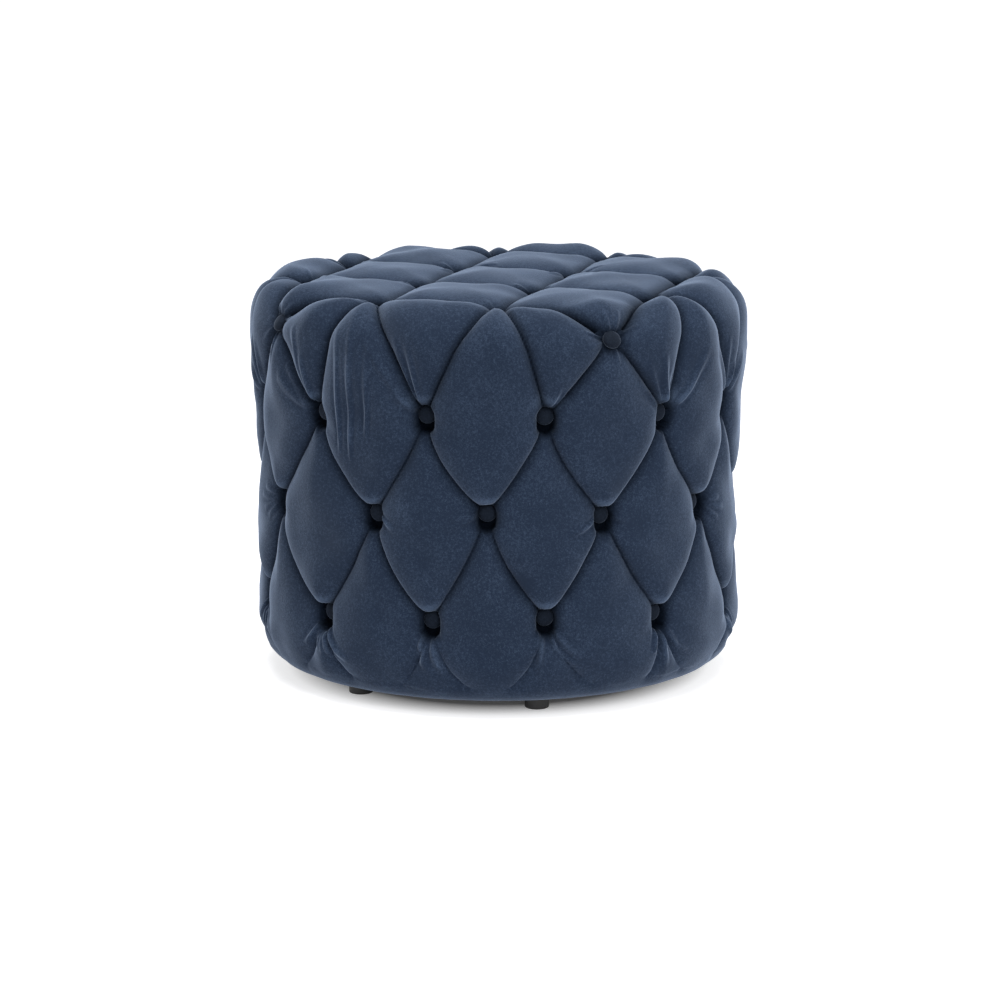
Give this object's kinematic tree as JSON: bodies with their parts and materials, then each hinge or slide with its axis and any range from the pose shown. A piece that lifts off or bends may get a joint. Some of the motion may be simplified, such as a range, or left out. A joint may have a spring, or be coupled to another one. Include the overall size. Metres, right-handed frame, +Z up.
{
  "type": "tuffet",
  "caption": "Low round upholstered tuffet: a drum-shaped seat and footstool, deep-buttoned in dark blue velvet over its side and top",
  "frame": {"origin": "on the floor, under the middle of the drum", "axes": "+Z up, -Y to the front as pictured, +X to the right; the drum's axis is Z"},
  "size_m": [0.4948, 0.4948, 0.4055],
  "materials": {
    "velvet": "matte",
    "black_cloth": "matte",
    "wadding": "matte",
    "foam": "matte",
    "plywood": "satin",
    "softwood": "matte",
    "steel": "satin",
    "black_plastic": "matte",
    "twine": "matte"
  },
  "bodies": {
    "root": {"base_board": "plywood", "lower_ring": "plywood", "post_1": "softwood", "post_2": "softwood", "post_3": "softwood", "post_4": "softwood", "post_5": "softwood", "post_6": "softwood", "top_deck": "plywood", "side_panel": "plywood", "panel_joint_strip": "plywood", "deck_screws": "steel", "base_screws": "steel", "panel_staples": "steel", "side_foam": "foam", "top_foam": "foam", "wadding": "wadding", "velvet_cover": "velvet", "dust_cover": "black_cloth", "hem_staples": "steel", "dust_cover_staples": "steel", "glides": "black_plastic", "glide_nails": "steel", "upper_side_buttons": "velvet", "middle_side_buttons": "velvet", "lower_side_buttons": "velvet", "top_buttons": "velvet", "corner_buttons": "velvet", "button_backs": "steel", "side_twines": "twine", "top_twines": "twine", "anchor_washers": "black_plastic"}
  },
  "joints": []
}
